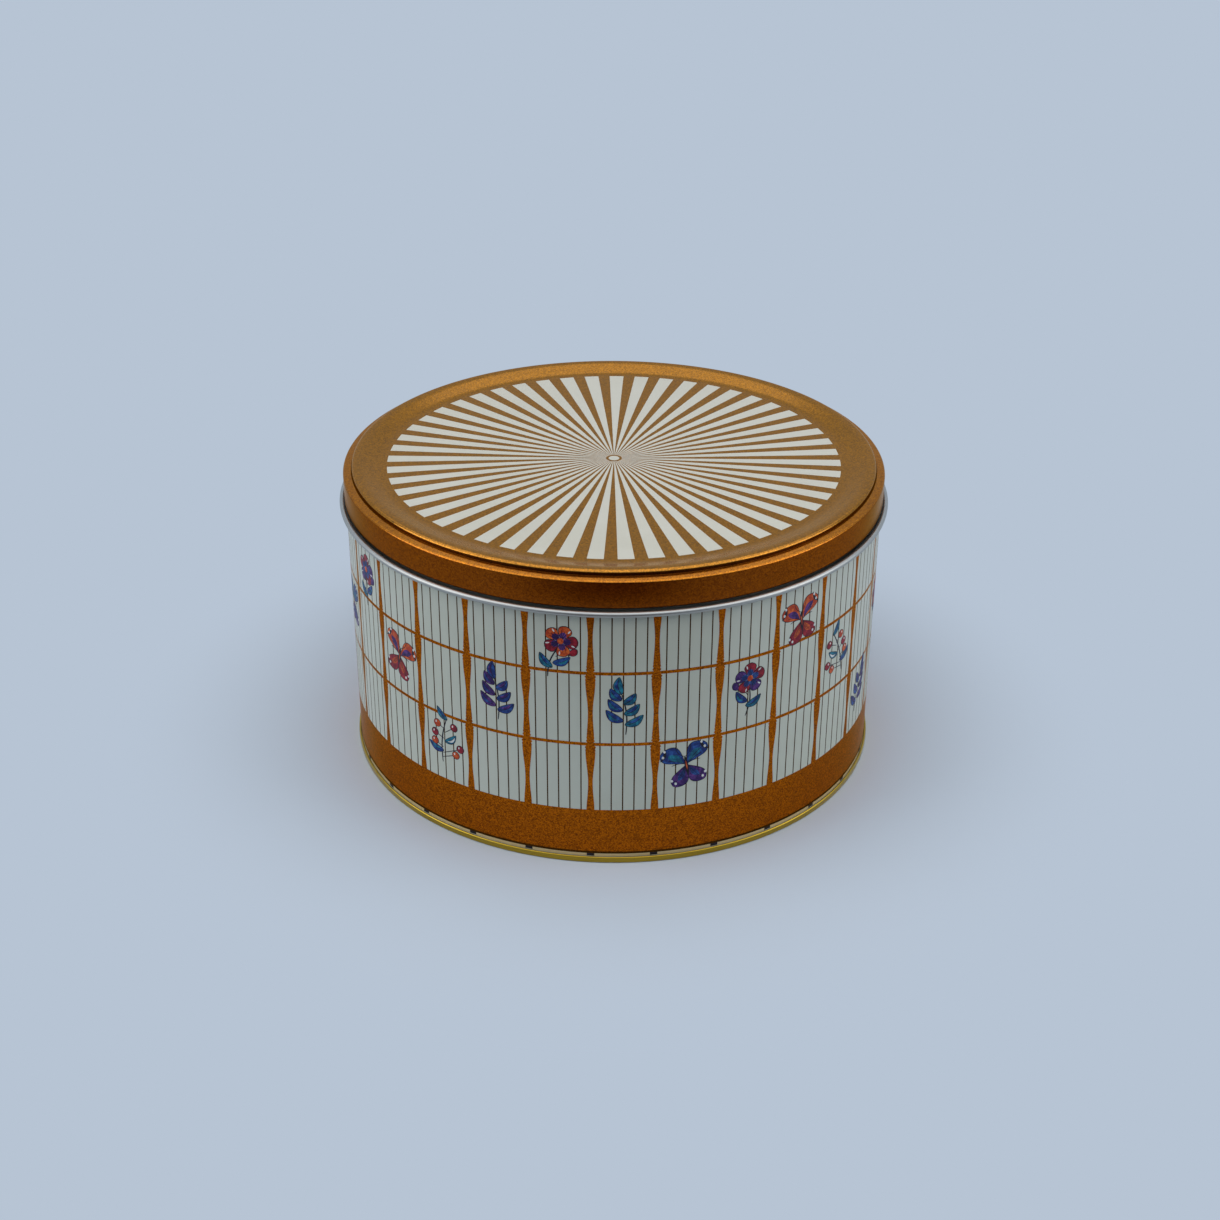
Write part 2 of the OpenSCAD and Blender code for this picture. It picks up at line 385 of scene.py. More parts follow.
# The skirt and the foot of the step are marked for darker copper, painted shade, and the shoulder for
# brighter copper, a painted highlight.
on_skirt_painted_shade = (edge_r > skirt_mid) & (edge_z < corner_z + CORNER_R * 0.6)
on_step_painted_shade = (edge_r > step_mid) & (edge_r < step_mid + 0.8 * BEND_R) & (edge_z < rim_mid - RIM_EDGE_R / 2)
places = [on_skirt_painted_shade, on_step_painted_shade, edge_r > step_mid + HALF]
lid_face = lid_face * np.select(places, [ON_SKIRT_PAINTED_SHADE, ON_STEP_PAINTED_SHADE, ON_SHOULDER_PAINTED_HIGHLIGHT], ON_TOP)
lid_shell = turned("lid_shell", lid_edge, columns(), lid_face)
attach(lid_shell, "lid")
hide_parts("lid")
PANEL_TOP = panel_mid + HALF
print("flat panel to", round(panel_x / MM, 2), "mm, at", round(PANEL_TOP / MM, 2), "mm")

# %% [markdown]
# ## Ink as thin films
# Offset printing lays its colours on the flat sheet one after another. Painting them into
# one texture would blur the finest stripes, which are under half a millimetre wide, so each
# ink is a film of its own: a grid of points lifted off the sheet, the same grid sunk into
# it, and a strip round the edge that closes the two. Inks that go on later lie a hundredth
# of a millimetre higher.

# %% Films on the wall and on the lid
INK_STEP = 0.012 * MM
INK_ROOT = -0.05 * MM
FIRST, SECOND, THIRD, FOURTH, FIFTH, SIXTH, SEVENTH = (INK_STEP * n for n in range(1, 8))


def slabs(name, upper, lower):
    """Closed thin slabs. Both arrays run over patch, across, along and x, y, z. The upper
    grid faces out, the lower one is turned over, and quads round the border join them."""
    k, n, m, _ = upper.shape
    number = np.arange(k * n * m).reshape(k, n, m)
    cell = np.stack([number[:, :-1, :-1], number[:, 1:, :-1], number[:, 1:, 1:], number[:, :-1, 1:]], -1)
    cell = cell.reshape(-1, 4)
    border = [number[:, :, 0], number[:, -1, 1:], number[:, -2::-1, -1], number[:, 0, -2:0:-1]]
    edge = np.concatenate(border, axis=1)
    after = np.roll(edge, -1, axis=1)
    under = k * n * m
    strip = np.stack([edge, edge + under, after + under, after], -1).reshape(-1, 4)
    points = np.concatenate([upper.reshape(-1, 3), lower.reshape(-1, 3)])
    return mesh_object(name, points, np.concatenate([cell, cell[:, ::-1] + under, strip]))


def wall_film(name, angle, height, lift):
    """A film on the wall, from arrays of angles in degrees and of heights."""
    upper = round_axis(WALL_R + lift, angle, height)
    film = slabs(name, upper, round_axis(WALL_R + INK_ROOT, angle, height))
    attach(film, "tin")
    return film


def lid_film(name, radius, angle):
    """A film on the flat panel of the lid, from arrays of radii and of angles in degrees."""
    upper = round_axis(radius, angle, PANEL_TOP + THIRD)
    film = slabs(name, upper, round_axis(radius, angle, PANEL_TOP + INK_ROOT))
    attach(film, "lid")
    return film


# %% [markdown]
# ## The sunburst
# Fifty-one cream rays leave as many copper ones between them. Each ray is a wedge between
# two angles, so it narrows to nothing in the middle, where a small cream spot covers the
# place. The rays stop short of the middle, because a wedge that ends in a point would
# leave faces without area.

# %% Rays and spot
RAYS = 51
RAY_SHARE = 0.55
RAY_R = 84.4 * MM
RAY_ROOT = 3 * MM
SPOT_R = 2 * MM
SPOT_COLUMNS = 48
FIRST_RAY = 180 - 0.62
ray_step = 360 / RAYS
ray_angle = FIRST_RAY + ray_step * (np.arange(RAYS)[:, None, None] + RAY_SHARE * np.linspace(-0.5, 0.5, 7))
ray_radius = np.linspace(RAY_ROOT, RAY_R, 12)[None, :, None]
ray_radius, ray_angle = np.broadcast_arrays(ray_radius, ray_angle)
rays = lid_film("print_rays", ray_radius, ray_angle)
spot_foot, spot_top = PANEL_TOP + INK_ROOT, PANEL_TOP + THIRD
spot_edge = np.array([[0, spot_foot], [SPOT_R, spot_foot], [SPOT_R, spot_top], [0, spot_top]])
spot = turned("print_spot", spot_edge, np.arange(SPOT_COLUMNS) * 360 / SPOT_COLUMNS)
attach(spot, "lid")

# %% [markdown]
# ## Bars on the wall
# The wall is printed as a row of twenty-eight turned posts with two rails across them and
# five fine stripes in every bay. The print is one sheet, so it is cut where its two ends
# meet at the back. A post is drawn as a turned spindle: its width is that of its thin
# stretches plus a few swellings, each a bell curve with its own height and reach.

# %% Posts
POSTS = 28
BAY = 360 / POSTS
FIRST_POST = -4.35
BAND_TOP = 22 * MM
BAND_FOOT = 3.5 * MM
RAIL_HEIGHTS = (77 * MM, 49 * MM)
POST_W = 1.45 * MM
BEAD_STEP = 1.3 * MM
INK_LAP = 0.5 * MM
INK_SHY = 0.05 * MM
bar_foot, bar_head = BAND_TOP - INK_LAP, PRINT_TOP - INK_SHY
post_angles = FIRST_POST + BAY * np.arange(POSTS)


def swelling(height, at, reach, crisp=2.0):
    """A bell curve that falls to half at the reach above and below its middle."""
    return 0.5 ** (np.abs((height - at) / reach) ** crisp)


def post_width(height):
    """A thin stretch, a swelling at the foot, at the top and at each rail, where it reaches
    further down than up, and small beads turned into the wood beside the rail."""
    wide = POST_W + 1.3 * MM * swelling(height, BAND_TOP, 5.5 * MM)
    wide += 1.25 * MM * swelling(height, PRINT_TOP, 4.5 * MM)
    for rail in RAIL_HEIGHTS:
        upper = 1.25 * MM * swelling(height, rail, 7 * MM)
        lower = 2.0 * MM * swelling(height, rail, 9.5 * MM, 3)
        beads = np.cos(2 * np.pi * (height - rail) / BEAD_STEP)
        wide += np.where(height > rail, upper, lower)
        wide += 0.5 * MM * beads * swelling(height, rail, 2 * MM)
    return wide


beaded = np.linspace(-4 * MM, 4 * MM, 60)
post_height = np.linspace(bar_foot, bar_head, 90)
post_height = np.unique(np.concatenate([post_height] + [rail + beaded for rail in RAIL_HEIGHTS]))
post_side = np.linspace(-0.5, 0.5, 4)[:, None] * post_width(post_height)[None, :]
post_angle = post_angles[:, None, None] + np.degrees(post_side / WALL_R)[None]
posts = wall_film("print_posts", post_angle, np.broadcast_to(post_height, post_angle.shape), THIRD)

# %% Rails, band and the line under it
RAIL_W = 1.2 * MM
FOOT_LINE_W = 0.9 * MM
SHY_ANGLE = 0.05
sheet_angle = np.linspace(line_to + SHY_ANGLE, line_from - SHY_ANGLE + 360, COLUMNS)


def hoops(name, edges, lift):
    """Bands round the whole print, each between the two heights given for it."""
    edges = np.asarray(edges)
    height = np.broadcast_to(edges[:, None, :], (len(edges), COLUMNS, 2))
    angle = np.broadcast_to(sheet_angle[None, :, None], height.shape)
    return wall_film(name, angle, height, lift)


rails = hoops("print_rails", [(z - RAIL_W / 2, z + RAIL_W / 2) for z in RAIL_HEIGHTS], SECOND)
band = hoops("print_band", [(BAND_FOOT, BAND_TOP)], SECOND)
# A dark brown line along the foot of the band, drawn as a film of the brown ink.
foot_line = hoops("dark_foot_line", [(BAND_FOOT, BAND_FOOT + FOOT_LINE_W)], THIRD)

# %% Fine stripes and register marks
STRIPES = 5
STRIPE_STEP = 2.27
STRIPE_W = 0.43 * MM
MARK_W = 2.7 * MM
MARK_FOOT = SEAM_H + INK_SHY


def uprights(name, middles, width, across, heights, lift):
    """Upright bars of one width, from the angles of their middles and two heights."""
    half = math.degrees(width / 2 / WALL_R)
    angle = middles[:, None, None] + half * np.linspace(-1, 1, across)[None, :, None]
    return wall_film(name, *np.broadcast_arrays(angle, np.array(heights)[None, None, :]), lift)


stripe_places = STRIPE_STEP * (np.arange(STRIPES) - (STRIPES - 1) / 2)
stripe_middle = (post_angles[:, None] + BAY / 2 + stripe_places[None, :]).ravel()
stripes = uprights("print_stripes", stripe_middle, STRIPE_W, 2, (bar_foot, bar_head), FIRST)
marks = uprights("print_marks", post_angles, MARK_W, 4, (MARK_FOOT, BAND_FOOT), SECOND)
foot_strip = hoops("print_foot_strip", [(MARK_FOOT, BAND_FOOT)], FIRST)
print("stripes", len(stripe_middle), "marks", len(post_angles))

# %% [markdown]
# ## The folded side seam
# Inside, the hooked ends of the wall lie pressed against it as two more sheets. They stop
# short of the base and of the collar, so that both can be folded or pressed in over a
# single thickness. Across the fold its depth follows the root of one less the eighth power
# of the distance from the middle, so it is flat with rounded edges.

# %% The fold inside
FOLD_LEAST = 0.4 * MM
fold_head = neck_foot - FOLD_END
fold_foot = BASE_SINK + BASE_RISE + SHEET + FOLD_END
fold_side = np.linspace(-1, 1, 13)
fold_angle = 180 + np.degrees(FOLD_W / 2 / WALL_R) * fold_side[None, :, None]
fold_height = np.linspace(fold_foot, fold_head, 3)[None, None, :]
fold_depth = SHEET + 2 * SHEET * (1 - np.abs(fold_side) ** 8) ** 0.5
fold_angle, fold_height = np.broadcast_arrays(fold_angle, fold_height)
fold_depth = np.maximum(fold_depth, FOLD_LEAST)[None, :, None]
fold_inner = round_axis(WALL_R - fold_depth, fold_angle, fold_height)
seam_fold = slabs("seam_fold", round_axis(WALL_R - HALF, fold_angle, fold_height), fold_inner)
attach(seam_fold, "tin")

# %% [markdown]
# ## Sprigs, blossoms and butterflies
# Each bay carries one small motif in bright inks. All of them are made of one shape, a
# blade: it runs along a spine from a base to a tip, and its width rises and falls as a
# sine. A full blade is a petal or a wing, a slim one is a leaf, and a very thin one is a
# stroke of the pen. Each blade that is filled has a darker one under it that shows as an
# outline, as a pen drawing has under its wash of colour.

# %% One blade, and the lists that the inks are printed from
OUTLINE = 0.24 * MM
BLADE_SIDE = np.linspace(-1, 1, 5)
BLADE_RUN = np.linspace(0.015, 0.985, 15)
BLADE_LEAST = 0.02
printed_blades = {}


def blade(ink, lift, base, tip, width, bow=0.0, belly=1.0, blunt=0.7):
    """Notes one blade for an ink, in millimetres: a larger belly moves the widest place
    towards the tip, and a smaller blunt makes the ends rounder."""
    printed_blades.setdefault(ink, []).append([*base, *tip, width, bow, belly, blunt, lift])


def blade_grid(rows):
    """The spine is a straight line plus the bow times sin(pi t) to its right. The half
    width is half the width times sin(pi t to the power belly) to the power blunt."""
    x0, y0, x1, y1, width, bow, belly, blunt = (rows[:, i, None, None] for i in range(8))
    t, s = BLADE_RUN[None, None, :], BLADE_SIDE[None, :, None]
    length = np.hypot(x1 - x0, y1 - y0)
    along_x, along_y = (x1 - x0) / length, (y1 - y0) / length
    half = np.maximum(width / 2 * np.sin(np.pi * t**belly) ** blunt, BLADE_LEAST)
    aside = bow * np.sin(np.pi * t) + half * s
    x = x0 + (x1 - x0) * t + along_y * aside
    y = y0 + (y1 - y0) * t - along_x * aside
    return x * MM, y * MM


class Place:
    """Where a motif lies: its middle on the unrolled wall, its lean, and which way it faces."""

    def __init__(self, across, height, lean, facing, scale):
        self.across, self.height, self.facing, self.scale = across, height, facing, scale
        self.cos, self.sin = math.cos(math.radians(lean)), math.sin(math.radians(lean))

    def at(self, x, y):
        """A point of the motif, in millimetres on the unrolled wall."""
        x, y = x * self.facing * self.scale, y * self.scale
        return self.across + x * self.cos - y * self.sin, self.height + x * self.sin + y * self.cos

    def mark(self, ink, base, tip, width, lift=FIFTH, bow=0.0, belly=1.0, blunt=0.7, edge=True):
        """One filled blade of the motif, with its outline under it."""
        bow, width = bow * self.facing * self.scale, width * self.scale
        a, b = self.at(*base), self.at(*tip)
        blade(ink, lift, a, b, width, bow, belly, blunt)
        if edge:
            line = OUTLINE / MM
            reach = math.dist(a, b)
            out = [(q - p) / reach * line for p, q in zip(a, b)]
            wider = (a[0] - out[0], a[1] - out[1]), (b[0] + out[0], b[1] + out[1])
            blade("dark", FOURTH, *wider, width + 2 * line, bow, belly, blunt)

    def pen(self, base, tip, width=0.26, bow=0.0, lift=SIXTH):
        """A stroke of the pen, of nearly the same width from end to end."""
        bow = bow * self.facing * self.scale
        blade("dark", lift, self.at(*base), self.at(*tip), width * self.scale, bow, 1.0, 0.2)


# %% The motifs


def leaf(place, x, y, angle, length, width, inks):
    """A leaf that grows from a point at an angle from upright: a wash, a lighter half, a vein."""
    a = math.radians(angle)
    tip = x + length * math.sin(a), y + length * math.cos(a)
    bow = 0.12 * length * (1 if angle > 0 else -1)
    place.mark(inks[0], (x, y), tip, width, bow=bow, belly=0.85)
    side = 0.16 * width * math.cos(a), -0.16 * width * math.sin(a)

    def beside(share):
        return x + share * (tip[0] - x) + side[0], y + share * (tip[1] - y) + side[1]

    place.mark(inks[1], beside(0.2), beside(0.86), width * 0.34, SIXTH, bow, edge=False)
    place.pen((x, y), tip, 0.2, bow)


def sprig(place, inks):
    """A bent stem with three pairs of leaves and one at its tip."""
    place.pen((-0.6, -7.4), (0.5, 4.2), 0.34, -0.7, lift=FOURTH)
    for step in range(3):
        y = -4.6 + 2.9 * step
        leaf(place, -0.5 + 0.2 * step, y, -58 + 6 * step, 4.9 - 0.5 * step, 2.0, inks)
        leaf(place, 0.1 + 0.2 * step, y + 1.0, 52 - 6 * step, 5.0 - 0.5 * step, 2.0, inks[::-1])
    leaf(place, 0.5, 3.8, 6, 4.6, 2.1, inks)


def butterfly(place, inks):
    """Two pairs of wings with veins and pale spots, a body and two feelers."""
    for side in (-1, 1):
        place.mark(inks[1], (0.3 * side, 0.1), (3.9 * side, -5.0), 3.9, FIFTH, 0.5 * side, 1.5, 0.6)
        place.mark(inks[0], (0.3 * side, 0.6), (5.6 * side, 5.0), 4.6, FIFTH, -0.7 * side, 1.7, 0.6)
        place.mark(inks[2], (0.6 * side, 0.9), (4.1 * side, 3.9), 1.8, SIXTH, -0.4 * side, 1.5, edge=False)
        place.mark("dark", (4.4 * side, 6.2), (6.1 * side, 2.9), 0.8, SIXTH, 0.5 * side, edge=False)
        place.mark(inks[0], (0.6 * side, -0.3), (2.7 * side, -3.6), 1.5, SIXTH, 0.3 * side, 1.4, edge=False)
        for spread in (0.35, 0.6, 0.85):
            place.pen((0.5 * side, 0.7), (5.0 * side * spread**0.3, 6.6 * spread - 1.4), 0.17, -0.3 * side)
            place.pen((0.5 * side, 0), (4.6 * side * spread, -4.6 * spread**0.4), 0.16, 0.3 * side)
        for x, y in ((4.6, 5.1), (5.2, 3.6), (3.4, -4.6), (4.2, -3.6)):
            tip = (x + 0.1) * side, y + 0.75
            place.mark("pale", (x * side, y), tip, 0.6, SEVENTH, blunt=0.5, edge=False)
        place.pen((0.1 * side, 2.7), (1.9 * side, 5.9), 0.18, 0.5 * side)
    place.mark("dark", (0, -3.3), (0, 2.9), 0.95, SIXTH, belly=1.2, edge=False)
    place.mark("orange", (0, -1.2), (0, 1.6), 0.32, SEVENTH, edge=False)


def blossom(place, inks):
    """A flower of five petals on a stem with two leaves and a bud."""
    place.pen((0.2, 1.4), (-1.2, -7.2), 0.36, 0.8, lift=FOURTH)
    leaf(place, -0.6, -4.4, -48, 4.6, 1.9, ("teal", "blue"))
    leaf(place, -0.5, -3.2, 56, 4.4, 1.8, ("blue", "teal"))
    place.pen((-0.2, -1.4), (3.3, 0.1), 0.24, -0.5, lift=FOURTH)
    place.mark(inks[1], (3.0, -0.1), (4.4, 1.6), 1.5, bow=0.1, blunt=0.55)

    def out(reach, angle):
        return 0.3 + reach * math.sin(angle), 3.0 + reach * math.cos(angle)

    for petal in range(5):
        a = math.radians(72 * petal + 14)
        root = out(0.3, a)
        place.mark(inks[petal % 2], root, out(4.1, a), 3.1, belly=1.7, blunt=0.6)
        place.mark(inks[2], root, out(2.5, a), 1.7, SIXTH, belly=1.3, edge=False)
        place.mark("pale", out(2.7, a + 0.3), out(3.7, a + 0.3), 0.35, SEVENTH, edge=False)
        for aside in (-0.28, 0, 0.28):
            place.pen(root, out(2.9, a + aside), 0.16)
    place.mark("orange", (0.3, 2.2), (0.3, 3.8), 1.5, SEVENTH, blunt=0.5, edge=False)


BERRY_PLACES = ((-2.8, 1.8), (-1.4, 4.4), (3.8, 3.6), (2.6, -4.0), (4.4, -2.2), (-3.4, -0.6))


def berries(place, inks):
    """A leaning twig with round berries on short stalks and three slim leaves."""
    place.pen((-2.2, -6.6), (2.2, 6.2), 0.36, -0.9, lift=FOURTH)
    leaf(place, 2.1, 5.6, -34, 4.2, 1.6, ("teal", "blue"))
    leaf(place, -1.2, -3.2, -62, 4.8, 1.7, ("blue", "teal"))
    leaf(place, 0.0, -0.6, 62, 4.4, 1.6, ("teal", "pale"))
    for i, (x, y) in enumerate(BERRY_PLACES):
        near = max(-5.0, min(5.0, y - 1.6))
        place.pen((near * 0.36 - 0.2, near), (x, y), 0.2, lift=FOURTH)
        place.mark(inks[i % 2], (x, y - 1.0), (x, y + 1.0), 2.0, blunt=0.5)
        place.mark("pale", (x - 0.4, y + 0.1), (x - 0.2, y + 0.7), 0.4, SEVENTH, blunt=0.5, edge=False)


# %% Where the motifs lie
MOTIFS = (
    (sprig, ("teal", "blue")),
    (butterfly, ("blue", "violet", "teal")),
    (blossom, ("crimson", "violet", "blue")),
    (butterfly, ("orange", "crimson", "violet")),
    (berries, ("crimson", "orange")),
    (sprig, ("blue", "violet")),
    (blossom, ("orange", "crimson", "violet")),
)
STOREY_HEIGHTS = (63.5, 38.5, 64.5, 84.5)
MOTIF_SCALE = 1.45
for bay in range(POSTS):
    draw, inks = MOTIFS[bay % len(MOTIFS)]
    middle = math.radians(post_angles[bay] + BAY / 2) * WALL_R / MM
    facing = 1 if bay % 2 else -1
    place = Place(middle, STOREY_HEIGHTS[bay % 4], 14 * math.sin(2.3 * bay), facing, MOTIF_SCALE)
    draw(place, inks)

motif_films = []
for ink, rows in printed_blades.items():
    rows = np.array(rows)
    x, y = blade_grid(rows)
    film = wall_film("print_" + ink, np.degrees(x / WALL_R), y, rows[:, 8, None, None])
    motif_films.append((film, ink))
print({ink: len(rows) for ink, rows in printed_blades.items()})

# %% [markdown]
# # Finishes
# Every finish is a Principled BSDF fed by procedural patterns on Object coordinates, so
# the pattern stays in the metal when the lid is lifted. Three effects are used by several
# finishes, and each of them is a node group: flakes in a metallic ink, the fine lines
# that a rolling mill leaves, and the faint dull patches left by hands.

# %% Small helpers for nodes


def add(tree, kind, **settings):
    """A node with its settings: an attribute by its name, a socket's value by socket_NAME."""
    node = tree.nodes.new("ShaderNode" + kind)
    for key, value in settings.items():
        if key.startswith("socket_"):
            node.inputs[key[7:].replace("_", " ")].default_value = value
        else:
            setattr(node, key, value)
    return node


def math_node(tree, operation, first, second=None, clamp=False):
    """A Math node whose inputs are sockets or numbers. Gives its output."""
    node = add(tree, "Math", operation=operation, use_clamp=clamp)
    for slot, value in zip(node.inputs, (first, second)):
        if isinstance(value, (int, float)):
            slot.default_value = value
        elif value is not None:
            tree.links.new(value, slot)
    return node.outputs[0]


def ramp(tree, value, low, high):
    """Zero up to the low value, one from the high one on, and a smooth step between them."""
    step = add(tree, "MapRange", interpolation_type="SMOOTHSTEP")
    step.inputs["From Min"].default_value = low
    step.inputs["From Max"].default_value = high
    tree.links.new(value, step.inputs["Value"])
    return step.outputs[0]


def noise(tree, place, scale, detail, roughness=0.5):
    """The value of a noise texture at a place."""
    cloud = add(tree, "TexNoise", socket_Scale=scale, socket_Detail=detail, socket_Roughness=roughness)
    tree.links.new(place, cloud.inputs["Vector"])
    return cloud.outputs[0]


def new_group(name, numbers, results):
    """An empty shader node group that takes a place and numbers, and gives numbers."""
    tree = bpy.data.node_groups.new(name, "ShaderNodeTree")
    tree.interface.new_socket("Place", in_out="INPUT", socket_type="NodeSocketVector")
    for label in numbers:
        tree.interface.new_socket(label, in_out="INPUT", socket_type="NodeSocketFloat")
    for label in results:
        tree.interface.new_socket(label, in_out="OUTPUT", socket_type="NodeSocketFloat")
    return tree, tree.nodes.new("NodeGroupInput"), tree.nodes.new("NodeGroupOutput")


# %% Node group: metallic flakes
flakes, given, result = new_group("metal_flakes", ("Scale", "Spread"), ("Shade", "Height"))
cells = add(flakes, "TexVoronoi", feature="F1")
flakes.links.new(given.outputs["Place"], cells.inputs["Vector"])
flakes.links.new(given.outputs["Scale"], cells.inputs["Scale"])
each_cell = add(flakes, "SeparateColor")
flakes.links.new(cells.outputs["Color"], each_cell.inputs[0])
centred = math_node(flakes, "SUBTRACT", each_cell.outputs[0], 0.5)
spread = math_node(flakes, "MULTIPLY", centred, given.outputs["Spread"])
flakes.links.new(math_node(flakes, "ADD", spread, 0.5, clamp=True), result.inputs["Shade"])
flakes.links.new(each_cell.outputs[1], result.inputs["Height"])

# %% Node group: lines of the rolling mill
mill, given, result = new_group("mill_lines", ("Scale",), ("Shade", "Height"))
axes = add(mill, "SeparateXYZ")
mill.links.new(given.outputs["Place"], axes.inputs[0])
turn_angle = math_node(mill, "ARCTAN2", axes.outputs[0], axes.outputs[1])
square_x = math_node(mill, "MULTIPLY", axes.outputs[0], axes.outputs[0])
square_y = math_node(mill, "MULTIPLY", axes.outputs[1], axes.outputs[1])
out_r = math_node(mill, "SQRT", math_node(mill, "ADD", square_x, square_y))
unrolled = add(mill, "CombineXYZ")
mill.links.new(math_node(mill, "MULTIPLY", turn_angle, 6.0), unrolled.inputs[0])
mill.links.new(math_node(mill, "MULTIPLY", axes.outputs[2], given.outputs["Scale"]), unrolled.inputs[1])
mill.links.new(math_node(mill, "MULTIPLY", out_r, given.outputs["Scale"]), unrolled.inputs[2])
lines = noise(mill, unrolled.outputs[0], 1.0, 3.0, 0.6)
mill.links.new(lines, result.inputs["Shade"])
mill.links.new(lines, result.inputs["Height"])

# %% Node group: dull patches left by hands
hands, given, result = new_group("handled", ("Scale",), ("Mask",))
patches = add(hands, "TexNoise", socket_Detail=5.0, socket_Roughness=0.62, socket_Distortion=0.4)
hands.links.new(given.outputs["Place"], patches.inputs["Vector"])
hands.links.new(given.outputs["Scale"], patches.inputs["Scale"])
hands.links.new(ramp(hands, patches.outputs[0], 0.42, 0.68), result.inputs["Mask"])
print("groups", [g.name for g in bpy.data.node_groups])

# %% [markdown]
# A colour is written as it would be mixed on a screen, in steps of 255, and turned into
# the linear value that Blender works with. A finish starts from one function that makes
# the material and its coordinates; what makes it copper or enamel comes after.

# %% Start of a finish


def colour(red, green, blue):
    """The linear value of a screen colour: the standard curve of the sRGB space."""
    c = np.array([red, green, blue]) / 255
    linear = np.where(c <= 0.04045, c / 12.92, ((c + 0.055) / 1.055) ** 2.4)
    return (*linear.tolist(), 1.0)


def finish(name, **values):
    """A material with its Object coordinates. A value is for the shader input of its name."""
    made = bpy.data.materials.new(name)
    made.use_nodes = True
    tree = made.node_tree
    for label, value in values.items():
        tree.nodes["Principled BSDF"].inputs[label.replace("_", " ")].default_value = value
    return made, tree, add(tree, "TexCoord").outputs["Object"]


def effect(tree, group, place, **values):
    """A node group placed in a material, with its own values."""
    node = add(tree, "Group", node_tree=group)
    tree.links.new(place, node.inputs["Place"])
    for label, value in values.items():
        node.inputs[label].default_value = value
    return node


def blend_colours(tree, factor, first, second):
    """Two screen colours mixed by a factor, as the colour of a finish."""
    mix = add(tree, "Mix", data_type="RGBA")
    mix.inputs[6].default_value = colour(*first)
    mix.inputs[7].default_value = colour(*second)
    tree.links.new(factor, mix.inputs[0])
    tree.links.new(mix.outputs[2], tree.nodes["Principled BSDF"].inputs["Base Color"])
    return mix


def blend_roughness(tree, factor, low, high):
    """A roughness between two values, by a factor."""
    mapped = add(tree, "MapRange")
    mapped.inputs["To Min"].default_value = low
    mapped.inputs["To Max"].default_value = high
    tree.links.new(factor, mapped.inputs["Value"])
    tree.links.new(mapped.outputs[0], tree.nodes["Principled BSDF"].inputs["Roughness"])


def bumps(tree, height, depth, strength):
    """Relief of a depth in metres from a height between 0 and 1."""
    bump = add(tree, "Bump", socket_Strength=strength, socket_Distance=depth)
    tree.links.new(height, bump.inputs["Height"])
    tree.links.new(bump.outputs[0], tree.nodes["Principled BSDF"].inputs["Normal"])


# %% Copper ink
EDGE_TINT = (0.9, 0.65, 0.35, 1.0)


def copper_ink(name, deep, bright, roughness, varnish):
    """Metal flakes in a clear ink under a coat of varnish."""
    coat = {"Coat_Weight": varnish, "Coat_Roughness": 0.16}
    made, tree, place = finish(name, Metallic=1.0, Specular_Tint=EDGE_TINT, **coat)
    flake = effect(tree, flakes, place, Scale=2500.0, Spread=1.0)
    blend_colours(tree, flake.outputs["Shade"], deep, bright)
    handled = effect(tree, hands, place, Scale=24.0)
    blend_roughness(tree, handled.outputs["Mask"], roughness, roughness + 0.06)
    bumps(tree, flake.outputs["Height"], 0.012 * MM, 0.35)
    return made


lid_copper = copper_ink("lid_copper", (138, 88, 13), (192, 125, 29), 0.18, 0.4)
# The shoulder's copper is a brighter copy of the lid's, a painted highlight. The step's and the skirt's are
# darker copies, painted shade.
shoulder_copper_painted_highlight = copper_ink("shoulder_copper_painted_highlight", (146, 82, 8), (198, 121, 19), 0.2, 0.3)
step_copper_painted_shade = copper_ink("step_copper_painted_shade", (58, 28, 4), (88, 44, 8), 0.4, 0.0)
skirt_copper_painted_shade = copper_ink("skirt_copper_painted_shade", (113, 51, 3), (159, 82, 7), 0.24, 0.08)
wall_copper = copper_ink("wall_copper", (117, 56, 2), (196, 104, 6), 0.28, 0.08)
line_brown = copper_ink("brown_ink", (60, 36, 6), (84, 52, 14), 0.45, 0.0)


# %% Cream enamel


def enamel(name, clean, dulled):
    """A satin enamel with a fine orange peel, duller where hands have been."""
    made, tree, place = finish(name, Coat_Weight=0.25, Coat_Roughness=0.2)
    handled = effect(tree, hands, place, Scale=18.0)
    blend_colours(tree, handled.outputs["Mask"], clean, dulled)
    blend_roughness(tree, handled.outputs["Mask"], 0.36, 0.46)
    bumps(tree, noise(tree, place, 700.0, 2.0), 0.01 * MM, 0.3)
    return made


wall_cream = enamel("wall_cream", (195, 200, 187), (190, 195, 181))
lid_cream = enamel("lid_cream", (212, 210, 196), (206, 204, 189))
foot_tan = enamel("foot_tan", (204, 182, 134), (196, 174, 126))

# %% Bare tinplate and gold lacquer


def milled(name, deep, bright, scale, low, high, **base):
    """Rolled metal: its colour, gloss and relief all follow the lines of the mill."""
    made, tree, place = finish(name, **base)
    line = effect(tree, mill, place, Scale=scale)
    blend_colours(tree, line.outputs["Shade"], deep, bright)
    blend_roughness(tree, line.outputs["Shade"], low, high)
    bumps(tree, line.outputs["Height"], 0.006 * MM, 0.4)
    return made


tinplate = milled("tinplate", (160, 160, 157), (182, 182, 177), 5200.0, 0.34, 0.44, Metallic=1.0)
lacquer = {"Metallic": 0.95, "Coat_Weight": 0.4, "Coat_Roughness": 0.12}
gold = milled("gold_lacquer", (150, 122, 20), (190, 158, 44), 2600.0, 0.22, 0.38, **lacquer)

# %% Lining compound
compound, tree, place = finish("compound", Roughness=0.8)
grit = noise(tree, place, 1800.0, 4.0)
blend_colours(tree, grit, (120, 106, 88), (160, 146, 122))
bumps(tree, grit, 0.02 * MM, 0.5)

